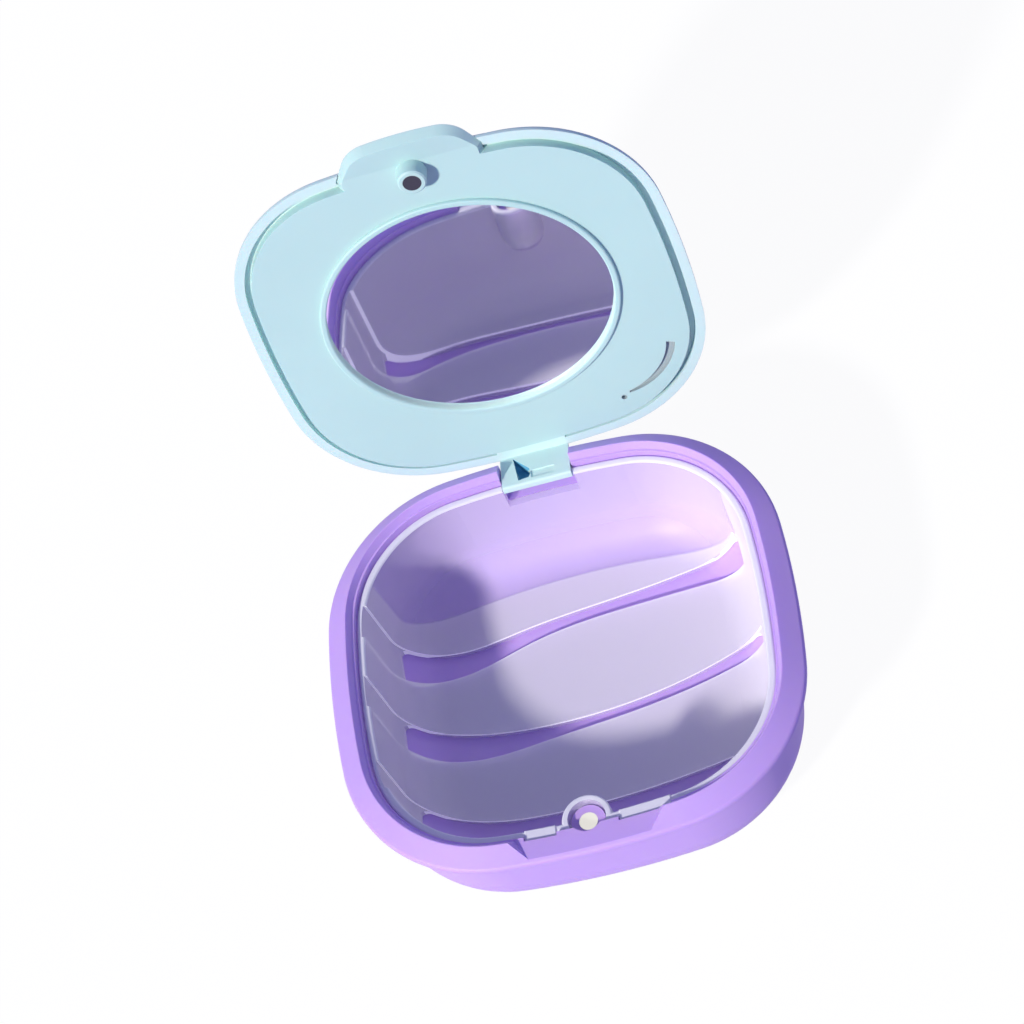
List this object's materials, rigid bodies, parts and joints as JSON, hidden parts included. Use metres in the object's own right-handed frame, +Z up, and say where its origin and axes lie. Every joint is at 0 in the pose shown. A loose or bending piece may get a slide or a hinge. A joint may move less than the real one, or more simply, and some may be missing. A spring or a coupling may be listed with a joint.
{
  "type": "aligner case",
  "caption": "Clamshell case with a drafted tub, a lift-out slotted tray, and a hinged flat lid with an oval mirror and magnet closure.",
  "frame": {"origin": "middle of the flat underside of the tub, which is the face that it rests on", "axes": "+Z up, +Y towards the hinge at the back, +X to the right seen from the front; the lid stands open"},
  "size_m": [0.08, 0.0943, 0.0951],
  "materials": {
    "purple_plastic": "soft satin, moulded",
    "blue_plastic": "soft satin, moulded",
    "frosted_plastic": "frosted, translucent",
    "pale_magnet": "plated, satin",
    "dark_magnet": "plated, satin",
    "pin_steel": "drawn wire",
    "mirror_face": "silvered",
    "pad_foam": "matt foam tape"
  },
  "bodies": {
    "base": {"base_shell": "purple_plastic", "inner_tray": "frosted_plastic", "base_magnet": "pale_magnet", "hinge_pin_left": "pin_steel", "hinge_pin_right": "pin_steel"},
    "lid": {"lid_cover": "blue_plastic", "lid_panel": "blue_plastic", "mirror_glass": "mirror_face", "mirror_pad": "pad_foam", "lid_magnet": "dark_magnet"}
  },
  "joints": [
    {"name": "lid_hinge", "type": "hinge", "parent": "base", "child": "lid", "pos_m": [0, 0.0355, 0.02198], "axis": [1, 0, 0], "range_deg": [0, 101.4]}
  ]
}
